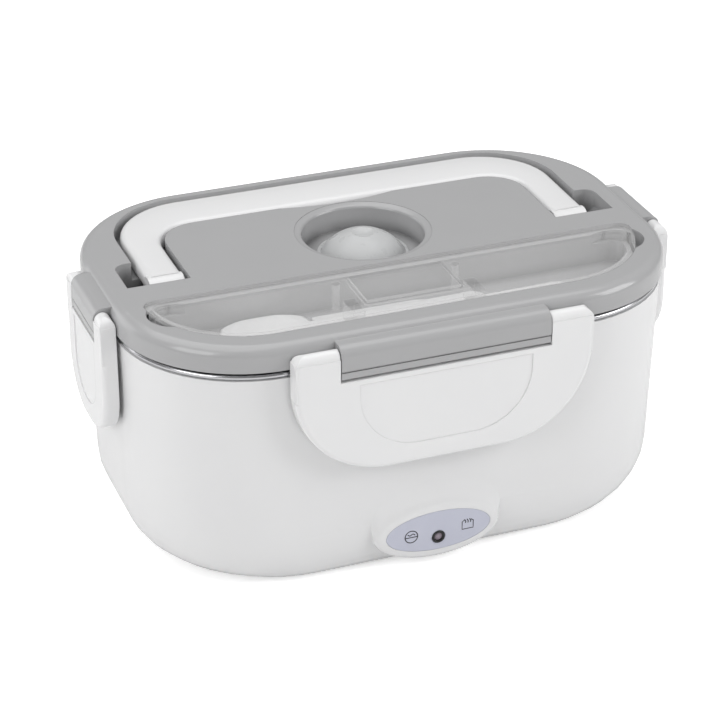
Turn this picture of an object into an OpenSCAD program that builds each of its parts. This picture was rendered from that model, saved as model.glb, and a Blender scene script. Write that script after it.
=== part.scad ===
// Electric lunch box: a heated base, a steel food pot, and a lift-off lid held by four latches.
// Millimetres. +X runs along the long side, -Y is the front, z = 0 is the table top.

/* [Lid] */
// Length of the lid, the longest moulding
lid_length = 230; // [220:1:245]
// Width of the lid from front to back
lid_width = 149; // [144:1:160]
// Corner radius of the lid seen from above
lid_corner = 53; // [50:1:56]
// Height of the lid from its lower edge to its top face
lid_height = 10.2; // [10:0.1:12]
// Radius of the rounded shoulder round the lid's top
lid_shoulder = 4.5; // [2:0.5:6]
// Thickness of the lid's walls
lid_wall = 2; // [1.6:0.1:2.2]
// Width of the lid's solid border, which carries the gasket
border_width = 11; // [10.5:0.5:13]
// Width of the seal
gasket_width = 5; // [3.5:0.1:5.2]
// Height of the seal
gasket_height = 2.4; // [2:0.1:2.6]

/* [Base] */
// Height of the base's rim above the table
rim_height = 96.4; // [92:0.2:110]
// Thickness of the outer shell's wall
shell_wall = 2.4; // [2:0.1:3]
// How far the lid overhangs the shell all round
lid_overhang = 1; // [0.6:0.1:2]
// Draft of the ends from the rim to where they curve under
end_draft = 1; // [0.5:0.5:4]
// Draft of the long sides from the rim to where they curve under
side_draft = 2; // [1:0.5:4]
// How far the ends curve in below
end_tuck = 18; // [10:1:22]
// How far the long sides curve in below
side_tuck = 6; // [4:0.5:9]
// Height over which the walls curve under
tuck_rise = 20.5; // [14:0.5:24]
// How much the corners open out where the walls begin to curve under
corner_spread = 1.5; // [0:0.5:4]
// Radius of the catch bar's corners and the depth that it stands out of the shell
catch_reach = 2.5; // [2:0.1:3]
// Height of the catch bars below the rim
catch_drop = 6; // [4:0.5:10]

/* [Indicator boss and inlet boss] */
// Half length of the oval bosses on the front and back
boss_half = 27; // [25.5:0.5:32]
// Half height of the oval bosses
boss_rise = 13; // [12:0.5:14]
// Height over which a boss runs out into the wall above it
boss_runout = 14; // [6:1:20]
// Height of the bosses' centres above the table
boss_height = 15.5; // [15:0.5:20]
// Distance of the bosses' flat faces from the middle of the box
boss_face = 74.5; // [74:0.5:78]
// Half length of the oval label
label_half = 22.4; // [18:0.2:23]
// Half height of the oval label
label_rise = 8.8; // [7:0.2:9.4]
// Thickness of the label's foil
label_foil = 0.3; // [0.2:0.05:0.5]
// How far the lamp sits below the label's centre
lamp_drop = 3.1; // [0:0.1:4]
// Radius of the indicator lamp
lamp_radius = 1.9; // [1.5:0.1:2.5]
// Wall of the black sleeve round the lamp
sleeve_wall = 0.85; // [0.6:0.05:1.2]
// Radius of the mains inlet's round ends
inlet_radius = 4.3; // [4:0.1:4.8]
// Depth of the mains inlet's socket
inlet_depth = 12; // [10:0.5:14]
// Distance between the two inlet pins
pin_pitch = 8.6; // [8:0.1:9.4]
// Radius of the inlet pins
pin_radius = 1.2; // [1:0.1:1.4]

/* [Pot and tray] */
// Width of the pot's rim, from its wall to the lid's edge above
pot_rim_width = 9; // [8.5:0.5:12]
// Depth of the pot from the top of its rim to its underside
pot_depth = 58.5; // [45:0.5:64]
// Sheet thickness of the steel pot
pot_sheet = 0.7; // [0.5:0.1:1]
// Thickness of the pot's rolled edge
bead_diameter = 2.2; // [1.6:0.1:2.6]
// Inset of the pot's wall at its foot
pot_draft = 3; // [1:0.5:5]
// Radius between the pot's wall and its bottom
pot_fillet = 8; // [5:0.5:12]
// Half length of the side-dish tray
tray_half_length = 42; // [30:1:44]
// Half width of the side-dish tray
tray_half_width = 50; // [40:1:52]
// Height of the side-dish tray
tray_height = 45; // [30:1:48]
// Corner radius of the side-dish tray
tray_corner = 20; // [12:1:24]
// Wall of the side-dish tray
tray_wall = 1.6; // [1.2:0.1:2]
// Distance of the tray's centre from the pot's centre
tray_offset = 50; // [46:1:51]

/* [Liner and heater] */
// Gap between the pot and the liner
pot_clearance = 1; // [0.6:0.1:1.4]
// Thickness of the liner's wall
liner_wall = 1.6; // [1.2:0.1:2]
// Thickness of the heating plate
plate_thickness = 2; // [1.5:0.1:3]
// Half length of the heating plate
plate_half_length = 62; // [58:1:70]
// Half width of the heating plate
plate_half_width = 34; // [30:1:40]
// How far the plate overlaps the liner's floor round its opening
plate_seat = 6; // [4:0.5:8]
// Half length of the heater
heater_half_length = 34; // [25:1:36]
// Half width of the heater
heater_half_width = 16; // [12:1:20]
// Height of the heater
heater_height = 6; // [5:0.5:8]
// Thickness of the insulation pad under the heater
pad_thickness = 1.5; // [1:0.1:3]
// Thickness of the clamp strap
strap_thickness = 1; // [0.8:0.1:2]
// Width of the clamp strap
strap_width = 14; // [10:1:18]
// Radius of the cut-out's case
cutout_radius = 7; // [6:0.5:8]

/* [Latches] */
// How far the latches stand out from the lid's side
latch_reach = 7; // [6.6:0.1:9]
// Half width of the long latches
long_latch_half = 61.7; // [58:0.1:61.9]
// Half width of the short latches
short_latch_half = 25.5; // [24:0.5:28]
// Half length of the long lug bars
long_lug_half = 43.3; // [40:0.1:46]
// Half length of the short lug bars
short_lug_half = 16.3; // [14:0.1:18]
// Corner radius of the long latches' lower corners
long_latch_corner = 38; // [30:1:44]
// Corner radius of the short latches' lower corners
short_latch_corner = 22; // [16:1:24]
// Height of the latches' lower edge above the table
latch_bottom = 53.5; // [46:0.5:60]
// Wall of the latches
latch_wall = 2.4; // [2:0.1:3]
// Radius of the latches' rounded outer edge
latch_edge = 2.2; // [1.5:0.1:3]
// Radius of the latch pins
hinge_pin_radius = 1.5; // [1.2:0.1:1.8]
// Length of the latch pins
hinge_pin_length = 4; // [3:0.5:6]
// Height of the lug bars
lug_height = 13.2; // [12.6:0.1:14]
// How much lower the rear lug bar, latch and catch bar are than the others
rear_drop = 2.6; // [0:0.1:3]

/* [Handle] */
// Half width of the handle over its arms
handle_half = 95; // [92:0.5:97]
// Distance from the middle of the box to the handle's back edge
handle_back = 66.7; // [64:0.1:68]
// Width of the handle's arms
arm_width = 14.7; // [10:0.1:16]
// Width of the handle's grip
grip_width = 23; // [14:0.5:24]
// Thickness of the handle
handle_thickness = 7; // [5:0.1:7.2]
// Outer corner radius of the handle
handle_corner = 31; // [22:0.5:32]
// Inner corner radius of the handle
handle_inner_corner = 17; // [8:0.5:19]
// Radius of the round ends of the arms
arm_end_radius = 6.3; // [5.5:0.1:6.5]
// Distance of the handle's pins behind the middle of the box
handle_pivot_back = 0.5; // [0:0.5:3]
// Radius of the handle's pins
handle_pin_radius = 2.5; // [2:0.1:3]
// Gap behind and inside the handle in its groove
groove_gap = 1.3; // [0.8:0.1:1.5]
// Gap outside the handle's arms
groove_side_gap = 2.3; // [1:0.1:2.5]
// Distance of the finger notches' outer edges from the middle of the box
notch_out = 105; // [103:0.5:105]
// Corner radius of the finger notches
notch_corner = 5; // [3:0.5:6]

/* [Vent] */
// Radius of the vent recess
vent_radius = 25.3; // [22:0.1:27]
// Width of the rounded lip round the vent recess
vent_ring = 3; // [2:0.5:4]
// Depth of the vent recess
vent_depth = 11; // [9:0.5:13]
// Distance of the vent behind the middle of the box
vent_back = 10.4; // [10:0.1:12]
// Radius of the silicone plug's skirt
plug_radius = 18.9; // [15:0.1:21]
// Height of the silicone plug above its seat
plug_rise = 10.7; // [8:0.1:10.8]
// Radius of the plug's stem
plug_stem_radius = 5; // [4:0.5:7]

/* [Cutlery] */
// Inset of the cutlery cover from the lid's edge
cover_inset = 11.5; // [11.2:0.1:14]
// Distance of the cover's straight back edge in front of the middle of the box
cover_back = 21; // [20:0.5:24]
// Thickness of the cutlery cover
cover_thickness = 1.6; // [1.2:0.1:2]
// Width of the ledge that the cover lies on
cover_ledge = 3; // [2.5:0.5:5]
// Width of the finger gaps at the cover's ends
finger_gap = 1.5; // [1:0.1:2.6]
// Depth of the cutlery compartment
cutlery_depth = 15; // [13:0.5:16]
// Length of the spoon
spoon_length = 112; // [100:1:116]
// Length of the fork
fork_length = 107; // [90:1:112]
// Thickness of the spoon and the fork
cutlery_sheet = 1.8; // [1.4:0.1:2]

/* [Feet and screws] */
// Height of the feet below the shell
foot_height = 1.5; // [1:0.1:3]
// Radius of the feet
foot_radius = 7.5; // [6:0.5:9]
// Half distance between the feet along the box
foot_x = 70; // [60:1:74]
// Half distance between the feet across the box
foot_y = 36; // [30:1:40]
// Radius of the screws' shanks
screw_radius = 1.45; // [1.2:0.05:1.8]

/* [Clearances] */
// Radial clearance of the pins in their bores
pin_clearance = 0.05; // [0.02:0.01:0.1]
// Gap between parts that lift apart
seat_gap = 0.2; // [0.1:0.05:0.4]
// Gap between the latches and what they pass
latch_gap = 0.4; // [0.3:0.05:0.6]
// Gap between a fixed insert and its seat
insert_gap = 0.1; // [0.05:0.01:0.2]
// Gap that the lid leaves above the pot's rim
rim_gap = 1.5; // [1:0.1:1.6]

/* [Hidden] */
$fn = 64;
// Segments in a quarter circle of the lofted shell
arc_steps = 12;
// Lofted steps from the wall to the bottom
tuck_steps = 6;
// Growth of a wire's radius at its bends
bend_swell = 1.08;
// Overshoot of a cut past the face that it opens
cut = 1;

// Centres of the corner arcs, shared by everything that follows the lid's outline
corner_x = lid_length / 2 - lid_corner;
corner_y = lid_width / 2 - lid_corner;

// Heights
pot_rim_z = rim_height + seat_gap + bead_diameter;
lid_z = pot_rim_z + rim_gap;
top_z = lid_z + lid_height;
pot_bottom_z = pot_rim_z - pot_depth;
pot_floor_z = pot_bottom_z + pot_sheet;
liner_floor_z = pot_bottom_z - plate_thickness;
liner_under_z = liner_floor_z - liner_wall;
strap_z = liner_floor_z - heater_height - pad_thickness;
floor_z = foot_height + shell_wall;

// Distances outwards from a corner centre
shell_u = lid_corner - lid_overhang;
pot_u = lid_corner - pot_rim_width;
liner_u = pot_u + pot_clearance + liner_wall;
cover_u = lid_corner - cover_inset;
gasket_out_u = lid_corner - lid_wall - 2 * insert_gap;
gasket_in_u = gasket_out_u - gasket_width;
gasket_top_z = pot_rim_z + insert_gap + gasket_height;

// Levels inside the lid
top_plate = 2.2;
groove_depth = handle_thickness + 0.8;
groove_z = top_z - groove_depth;
handle_top_z = top_z - 0.2;
handle_pivot_z = handle_top_z - 0.5 - arm_end_radius;
vent_floor_z = top_z - vent_depth;
cutlery_floor_z = top_z - cutlery_depth;

// Latches
pivot_out = latch_reach - 3.5;
pivot_z = top_z - 6.3;
horn_radius = pivot_out - latch_gap;
latch_depth = latch_reach - latch_gap;
lug_crown_drop = 1.8;
lug_round = 4.5;
lug_bottom_z = top_z - lug_crown_drop - lug_height;
plate_top_z = lug_bottom_z - 1.2;
catch_top_z = rim_height - catch_drop;
catch_bar = 2.4;

white = [0.93, 0.93, 0.92];
grey = [0.66, 0.66, 0.67];
steel = [0.75, 0.75, 0.76];
clear = [0.85, 0.87, 0.88, 0.4];
black = [0.1, 0.1, 0.1];

// ---- Shared forms ----

// Points of a rounded rectangle at height z, counter-clockwise from +X
function ring(half_length, half_width, radius, z) =
    [for (quarter = [0:3]) for (i = [0:arc_steps])
        let (a = 90 * (quarter + i / arc_steps),
            sx = quarter == 0 || quarter == 3 ? 1 : -1,
            sy = quarter < 2 ? 1 : -1)
        [sx * (half_length - radius) + radius * cos(a), sy * (half_width - radius) + radius * sin(a), z]];

// Points of an upright oval facing the front, clockwise seen from -Y, at distance y. Its upper
// half has the height up and spreads sideways by spread towards its top.
function oval_ring(half, up, down, spread, y, steps = 48) =
    [for (i = [0:steps - 1]) let (a = 360 * i / steps, s = sin(a))
        [(half + spread * max(0, s)) * cos(a), y, (s > 0 ? up : down) * s]];

// Solid through a list of point rings, each ring listed first to last along the loft
module loft(rings) {
    n = len(rings[0]);
    m = len(rings);
    polyhedron(
        points = [for (r = rings) each r],
        faces = concat(
            [[for (i = [0:n - 1]) i]],
            [for (k = [0:m - 2]) for (i = [0:n - 1]) let (j = (i + 1) % n)
                each [[k * n + i, (k + 1) * n + i, (k + 1) * n + j], [k * n + i, (k + 1) * n + j, k * n + j]]],
            [[for (i = [n - 1:-1:0]) (m - 1) * n + i]]));
}

// Sweeps a flat profile round a rounded rectangle. The profile's first axis runs outwards
// from the corner centres, its second axis is the height.
module around(hx = corner_x, hy = corner_y) {
    for (quarter = [0:3]) {
        sx = quarter == 0 || quarter == 3 ? 1 : -1;
        sy = quarter < 2 ? 1 : -1;
        translate([sx * hx, sy * hy, 0]) rotate([0, 0, 90 * quarter]) rotate_extrude(angle = 90) children();
    }
    for (turn = [0, 180]) rotate([0, 0, turn]) {
        translate([0, hy, 0]) rotate([90, 0, 90]) linear_extrude(2 * hx, center = true) children();
        translate([hx, 0, 0]) rotate([90, 0, 0]) linear_extrude(2 * hy, center = true) children();
    }
}

// Flat rounded rectangle
module rounded(half_length, half_width, radius) {
    square([2 * half_length, 2 * (half_width - radius)], center = true);
    square([2 * (half_length - radius), 2 * half_width], center = true);
    for (sx = [-1, 1]) for (sy = [-1, 1])
        translate([sx * (half_length - radius), sy * (half_width - radius)]) circle(radius);
}

// Upright prism of a rounded rectangle between two heights
module slab(half_length, half_width, radius, z0, z1) {
    translate([0, 0, z0]) linear_extrude(z1 - z0) rounded(half_length, half_width, radius);
}

// Slab that follows the lid's outline at a distance u from the corner centres
module outline_slab(u, z0, z1) {
    slab(corner_x + u, corner_y + u, u, z0, z1);
}

// Half section of a drafted tub with a rounded foot
module tub_profile(u_top, u_foot, z_top, z_foot, fillet) {
    square_z = z_foot + fillet;
    polygon([[0, z_foot], [u_foot - fillet, z_foot], [u_foot - fillet, square_z], [0, square_z]]);
    translate([u_foot - fillet, square_z]) circle(fillet);
    polygon([[0, square_z], [u_foot, square_z], [u_top, z_top], [0, z_top]]);
}

// Solid tub on the lid's outline
module tub(u_top, u_foot, z_top, z_foot, fillet) {
    around() tub_profile(u_top, u_foot, z_top, z_foot, fillet);
    translate([-corner_x, -corner_y, z_foot]) cube([2 * corner_x, 2 * corner_y, z_top - z_foot]);
}

// Stadium prism along Y with its length along X
module stadium(half, radius, y0, y1) {
    for (s = [-1, 1]) translate([s * (half - radius), y0, 0]) rotate([-90, 0, 0]) cylinder(r = radius, h = y1 - y0);
    translate([-(half - radius), y0, -radius]) cube([2 * (half - radius), y1 - y0, 2 * radius]);
}

// Places a child at the four feet
module at_feet() {
    for (sx = [-1, 1]) for (sy = [-1, 1]) translate([sx * foot_x, sy * foot_y, 0]) children();
}

// Round wire through a list of points, its insulation a little swollen at the bends
module wire(points, radius) {
    for (i = [0:len(points) - 2]) {
        step = points[i + 1] - points[i];
        reach = norm(step);
        tilt = acos(step[2] / reach);
        heading = atan2(step[1], step[0]);
        translate(points[i]) rotate([0, tilt, heading]) cylinder(r = radius, h = reach);
    }
    for (i = [1:len(points) - 2]) translate(points[i]) sphere(bend_swell * radius);
}

// ---- Base ----

// Ring of the shell's lower edge: share 0 is where the wall ends and 1 is the bottom.
// inset moves it inwards along the surface's normal.
function tuck_ring(share, inset) =
    let (a = 90 * share,
        fall = 1 - cos(a),
        r = shell_u + corner_spread - (end_tuck - side_tuck) / 3 * fall)
    ring(
        corner_x + shell_u - end_draft - end_tuck * fall - inset * cos(a),
        corner_y + shell_u - side_draft - side_tuck * fall - inset * cos(a),
        r - inset * cos(a),
        foot_height + tuck_rise * (1 - sin(a)) + inset * sin(a));

// The shell's body, or its cavity when inset is the wall and rise lifts the top ring clear
module shell_body(inset, rise) {
    loft(concat(
        [for (i = [tuck_steps:-1:0]) tuck_ring(i / tuck_steps, inset)],
        [ring(corner_x + shell_u - inset, corner_y + shell_u - inset, shell_u - inset, rim_height + rise)]));
}

// Ring of a boss: share 0 lies at the wall, where the boss has run out, and 1 is its flat face
function boss_ring(share) =
    let (edge = boss_edge * (1 - sqrt(1 - share * share)), open = pow(1 - share, 2))
    oval_ring(boss_half - edge, boss_rise - edge + boss_runout * open, boss_rise - edge,
        boss_spread * open, -boss_face + boss_depth * (1 - share));

// Oval boss that carries the front wall down over the curved lower edge
module boss() {
    root_y = -(corner_y + shell_u - side_draft - side_tuck) + shell_wall + 2;
    up = boss_rise + boss_runout;
    translate([0, 0, boss_height]) loft(concat(
        [oval_ring(boss_half + 3, up, boss_rise + 0.8, boss_spread, root_y),
            oval_ring(boss_half + 1, up, boss_rise + 0.4, boss_spread, -boss_face + 2 * boss_depth)],
        [for (i = [0:boss_steps]) boss_ring(i / boss_steps)]));
}

boss_depth = 3.2;
boss_edge = 2.4;
boss_spread = 8;
boss_steps = 7;

// Hollow behind a boss
module boss_hollow() {
    translate([0, -boss_face + shell_wall, boss_height]) rotate([-90, 0, 0])
        linear_extrude(14) polygon([for (i = [0:47]) let (a = 7.5 * i)
            [(boss_half - 4) * cos(a), (boss_rise - 3.5) * sin(a)]]);
}

// Bar on the shell's side that a latch's hook snaps under, sized to the latch's lug bar
module catch_bar_solid(lug_half) {
    face = corner_y + shell_u;
    half = lug_half - catch_inset;
    rotate([90, 0, 90]) linear_extrude(2 * half, center = true)
        polygon([[-face + 3, catch_top_z + 1.2], [-face - catch_reach + 0.8, catch_top_z],
            [-face - catch_reach, catch_top_z - 0.8], [-face - catch_reach, catch_top_z - catch_bar + 0.6],
            [-face - catch_reach + 0.6, catch_top_z - catch_bar], [-face + 3, catch_top_z - catch_bar]]);
}

catch_inset = 3;

// Places a child, made for the front, at the back, where the lug and its latch sit lower
module at_rear() {
    translate([0, 0, -rear_drop]) rotate([0, 0, 180]) children();
}

// Places a child, made for the front, at both ends
module on_short_sides() {
    shift = corner_x - corner_y;
    for (turn = [90, -90]) rotate([0, 0, turn]) translate([0, -shift, 0]) children();
}

// The counterbore that takes a foot's plug and the screw's head
counterbore_radius = foot_radius - 2.3;
counterbore_z = foot_height + 4;
tower_z = foot_height + 6.5;
post_radius = 4;
post_top_z = liner_under_z;

module outer_shell() {
    color(white) difference() {
        union() {
            difference() {
                union() {
                    shell_body(0, 0);
                    boss();
                    rotate([0, 0, 180]) boss();
                    catch_bar_solid(long_lug_half);
                    at_rear() catch_bar_solid(long_lug_half);
                    on_short_sides() catch_bar_solid(short_lug_half);
                }
                shell_body(shell_wall, cut);
                for (turn = [0, 180]) rotate([0, 0, turn]) boss_hollow();
                outline_slab(liner_flange_u + insert_gap, rim_height - liner_wall, rim_height + cut);
            }
            at_feet() translate([0, 0, foot_height]) cylinder(r = foot_radius, h = tower_z - foot_height);
            for (s = [-1, 1]) translate([s * board_post_x, -boss_face + shell_wall, lamp_z])
                rotate([-90, 0, 0]) translate([0, 0, -0.5]) cylinder(r = 2, h = board_gap + 0.5);
        }
        at_feet() {
            translate([0, 0, foot_height - cut]) cylinder(r = counterbore_radius, h = counterbore_z - foot_height + cut);
            cylinder(r = screw_radius + 0.35, h = tower_z + cut);
        }
        translate([0, -boss_face, boss_height]) label_blank(insert_gap, cut);
        translate([0, -boss_face - cut, lamp_z]) rotate([-90, 0, 0])
            cylinder(r = lamp_radius + sleeve_wall + insert_gap, h = shell_wall + 2 * cut);
        translate([0, 0, boss_height])
            stadium(inlet_half + inlet_wall + insert_gap, inlet_radius + inlet_wall + insert_gap,
                boss_face - shell_wall - cut, boss_face + cut);
    }
}

// Oval that the label fills, grown by gap and reaching out past the boss by reach
module label_blank(gap, reach) {
    translate([0, label_foil, 0]) rotate([90, 0, 0]) linear_extrude(label_foil + reach)
        polygon([for (i = [0:71]) let (a = 5 * i) [(label_half + gap) * cos(a), (label_rise + gap) * sin(a)]]);
}

lamp_z = boss_height - lamp_drop;
board_post_x = 10;
board_gap = 8;
liner_flange_u = shell_u - 1.3;

module inner_liner() {
    inner_u = liner_u - liner_wall;
    color(white) difference() {
        union() {
            tub(liner_u, liner_u - pot_draft, rim_height, liner_under_z, pot_fillet + pot_clearance + liner_wall);
            outline_slab(liner_flange_u, rim_height - liner_wall, rim_height);
            at_feet() translate([0, 0, tower_z]) cylinder(r = post_radius, h = post_top_z - tower_z + 0.5);
            for (s = [-1, 1]) translate([s * clamp_screw_x, 0, strap_z])
                cylinder(r = post_radius, h = liner_under_z - strap_z + 0.5);
        }
        tub(inner_u, inner_u - pot_draft, rim_height + cut, liner_floor_z, pot_fillet + pot_clearance);
        slab(plate_half_length - plate_seat, plate_half_width - plate_seat, 8, strap_z, liner_floor_z + cut);
        at_feet() translate([0, 0, tower_z - cut]) cylinder(r = screw_radius + pin_clearance, h = 12 + cut);
        for (s = [-1, 1]) translate([s * clamp_screw_x, 0, strap_z - cut])
            cylinder(r = screw_radius + pin_clearance, h = 5 + cut);
    }
}

clamp_screw_x = plate_half_length + 3;

module case_screws() {
    color(steel) at_feet() {
        translate([0, 0, counterbore_z - 1.9]) difference() {
            cylinder(r = 3.4, h = 1.9);
            translate([0, 0, -cut]) for (turn = [0, 90]) rotate([0, 0, turn]) cube([3.6, 0.8, 2 * cut + 0.8], center = true);
        }
        translate([0, 0, counterbore_z - 0.1]) cylinder(r = screw_radius, h = tower_z - counterbore_z + 10.1);
    }
}

module rubber_feet() {
    color(black) at_feet() {
        cylinder(r1 = foot_radius - 0.5, r2 = foot_radius, h = 0.5);
        translate([0, 0, 0.5]) cylinder(r = foot_radius, h = foot_height - 0.5);
        translate([0, 0, foot_height - 0.1]) cylinder(r = counterbore_radius - insert_gap, h = 1.6);
    }
}

// ---- Heater ----

module heating_plate() {
    color(steel) difference() {
        slab(plate_half_length, plate_half_width, 14, liner_floor_z, pot_bottom_z);
        for (s = [-1, 1]) translate([s * (plate_half_length - 3), 0, liner_floor_z - cut]) cylinder(r = 1, h = 0.6 + cut);
    }
}

module ptc_heater() {
    color(steel) {
        slab(heater_half_length, heater_half_width, 3, liner_floor_z - heater_height, liner_floor_z);
        for (s = [-1, 1]) translate([-heater_half_length - 5, s * 5 - 1.6, liner_floor_z - heater_height / 2 - 0.4])
            cube([6, 3.2, 0.8]);
    }
}

module insulation_pad() {
    color("wheat") slab(heater_half_length, heater_half_width, 3, strap_z, strap_z + pad_thickness);
}

module heater_clamp() {
    color(steel) difference() {
        union() {
            slab(clamp_screw_x + 6, strap_width / 2, 4, strap_z - strap_thickness, strap_z);
            translate([0, 0, strap_z - strap_thickness - 0.8]) for (s = [-1, 1])
                translate([-40, s * (strap_width / 2 - 1.6) - 0.8, 0]) cube([80, 1.6, 1]);
        }
        for (s = [-1, 1]) translate([s * clamp_screw_x, 0, strap_z - strap_thickness - cut])
            cylinder(r = screw_radius + 0.25, h = strap_thickness + 2 * cut);
    }
}

module clamp_screws() {
    color(steel) for (s = [-1, 1]) translate([s * clamp_screw_x, 0, strap_z - strap_thickness]) {
        translate([0, 0, -1.8]) difference() {
            cylinder(r = 2.9, h = 1.8);
            translate([0, 0, -cut]) for (turn = [0, 90]) rotate([0, 0, turn]) cube([3.2, 0.8, 2 * cut + 0.8], center = true);
        }
        translate([0, 0, -0.1]) cylinder(r = screw_radius, h = strap_thickness + 4.6);
    }
}

cutout_x = heater_half_length + cutout_radius + 2.5;

module thermal_cutout() {
    color(black) translate([cutout_x, 0, strap_z]) {
        translate([0, 0, 2]) cylinder(r = cutout_radius, h = heater_height + pad_thickness - 2);
        cylinder(r = cutout_radius - 1.5, h = 2.1);
        for (s = [-1, 1]) translate([-1.6, s * (cutout_radius + 2.4) - 2.6, 3.2]) cube([3.2, 5.2, 0.8]);
    }
}

fuse_x = heater_half_length + 14;
fuse_radius = 1.8;
fuse_z = liner_floor_z - fuse_radius - insert_gap;

module thermal_fuse() {
    color("silver") translate([-fuse_x, 0, fuse_z]) rotate([90, 0, 0]) {
        cylinder(r = fuse_radius, h = 11, center = true);
        cylinder(r = 0.5, h = 22, center = true);
    }
}

// ---- Inlet and indicator ----

inlet_half = pin_pitch / 2 + inlet_radius;
inlet_wall = 1.6;
inlet_back = boss_face - inlet_depth - 2.2;

module mains_inlet() {
    color(black) translate([0, 0, boss_height]) difference() {
        union() {
            stadium(inlet_half + inlet_wall, inlet_radius + inlet_wall, inlet_back, boss_face);
            stadium(inlet_half + inlet_wall + 2, inlet_radius + inlet_wall + 2,
                boss_face - shell_wall - 2, boss_face - shell_wall);
        }
        stadium(inlet_half, inlet_radius, boss_face - inlet_depth, boss_face + cut);
        for (s = [-1, 1]) translate([s * pin_pitch / 2, inlet_back - cut, 0]) rotate([-90, 0, 0])
            cylinder(r = pin_radius + pin_clearance, h = 2.2 + 2 * cut);
    }
}

pin_tip = boss_face - 2;
pin_tail = inlet_back - 6;

module inlet_pins() {
    color("gold") for (s = [-1, 1]) translate([s * pin_pitch / 2, pin_tail, boss_height]) rotate([-90, 0, 0]) {
        cylinder(r = pin_radius, h = pin_tip - pin_tail - pin_radius);
        translate([0, 0, pin_tip - pin_tail - pin_radius]) sphere(pin_radius);
    }
}

board_y = -boss_face + shell_wall + board_gap;

module indicator_board() {
    color("green") difference() {
        translate([0, board_y, lamp_z]) rotate([-90, 0, 0]) linear_extrude(1.6) rounded(15, 5.5, 1);
        for (s = [-1, 1]) translate([s * board_post_x, board_y - cut, lamp_z]) rotate([-90, 0, 0])
            cylinder(r = 0.8, h = 1.6 + 2 * cut);
    }
}

module indicator_lamp() {
    color("silver") translate([0, board_y, lamp_z]) rotate([90, 0, 0]) {
        cylinder(r = lamp_radius - insert_gap, h = boss_face + board_y - 0.4);
        translate([0, 0, boss_face + board_y - 0.4]) intersection() {
            translate([0, 0, -3]) sphere(sqrt(pow(lamp_radius - insert_gap, 2) + 9));
            cylinder(r = lamp_radius - insert_gap, h = 1.2);
        }
    }
}

module lamp_sleeve() {
    color(black) translate([0, -boss_face - 0.25, lamp_z]) rotate([-90, 0, 0]) difference() {
        cylinder(r = lamp_radius + sleeve_wall, h = shell_wall + 2.25);
        translate([0, 0, -cut]) cylinder(r = lamp_radius, h = shell_wall + 2.25 + 2 * cut);
    }
}

module front_label() {
    color([0.68, 0.69, 0.75]) translate([0, -boss_face, boss_height]) difference() {
        label_blank(0, 0);
        translate([0, -cut, -lamp_drop]) rotate([-90, 0, 0])
            cylinder(r = lamp_radius + sleeve_wall + insert_gap, h = label_foil + 2 * cut);
    }
}

wire_radius = 1;
wire_z = boss_height;
tab_z = liner_floor_z - heater_height / 2;
cutout_tab_z = strap_z + 3.6;

wire_tail = pin_tail - insert_gap;

module live_wire() {
    color("firebrick") {
        wire([[-pin_pitch / 2, wire_tail, wire_z], [-pin_pitch / 2, wire_tail - 8, wire_z],
            [-fuse_x + 2, 27, wire_z + 6], [-fuse_x + 0.4, 15, fuse_z - 1], [-fuse_x, 11.6, fuse_z]], wire_radius);
        wire([[-fuse_x, -11.6, fuse_z], [-fuse_x, -17, fuse_z - 3],
            [-heater_half_length - 10, -6, tab_z - 1], [-heater_half_length - 5.6, -5, tab_z]], wire_radius);
    }
}

module neutral_wire() {
    color("royalblue") {
        wire([[pin_pitch / 2, wire_tail, wire_z], [pin_pitch / 2, wire_tail - 8, wire_z],
            [cutout_x, 26, wire_z + 4], [cutout_x, cutout_radius + 9, cutout_tab_z],
            [cutout_x, cutout_radius + 5.2, cutout_tab_z]], wire_radius);
        wire([[cutout_x, -cutout_radius - 5.2, cutout_tab_z], [cutout_x, -cutout_radius - 9, cutout_tab_z],
            [cutout_x - 6, -24, strap_z - 8], [-heater_half_length, -24, strap_z - 8],
            [-heater_half_length - 12, 15, strap_z - 6], [-heater_half_length - 11, 11, tab_z - 1.5],
            [-heater_half_length - 6, 5.4, tab_z]], wire_radius);
    }
}

module lamp_wires() {
    start = board_y + 1.6 + insert_gap;
    color("dimgray") for (s = [-1, 1])
        wire([[s * 4, start, lamp_z], [s * 4, start + 5, lamp_z], [s * 9, start + 14, floor_z + 2],
            [s * 9, 30, floor_z + 2], [s * 9.5, wire_tail + 2, boss_height - 4]], 0.7);
}

// ---- Pot and tray ----

module steel_pot() {
    color(steel) difference() {
        union() {
            tub(pot_u, pot_u - pot_draft, pot_rim_z, pot_bottom_z, pot_fillet);
            outline_slab(bead_u, pot_rim_z - pot_sheet, pot_rim_z);
            around() translate([bead_u, pot_rim_z - bead_diameter / 2]) circle(bead_diameter / 2);
        }
        tub(pot_u - pot_sheet, pot_u - pot_sheet - pot_draft, pot_rim_z + cut, pot_floor_z, pot_fillet - pot_sheet);
    }
}

bead_u = shell_u - 0.2 - bead_diameter / 2;

module food_tray() {
    color(white) translate([tray_offset, 0, pot_floor_z]) difference() {
        union() {
            slab(tray_half_length - 3, tray_half_width - 3, tray_corner - 3, 0, tray_height);
            slab(tray_half_length, tray_half_width, tray_corner, tray_height - 1.4, tray_height);
        }
        slab(tray_half_length - 3 - tray_wall, tray_half_width - 3 - tray_wall, tray_corner - 3 - tray_wall,
            tray_wall, tray_height + cut);
    }
}

// ---- Lid ----

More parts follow.
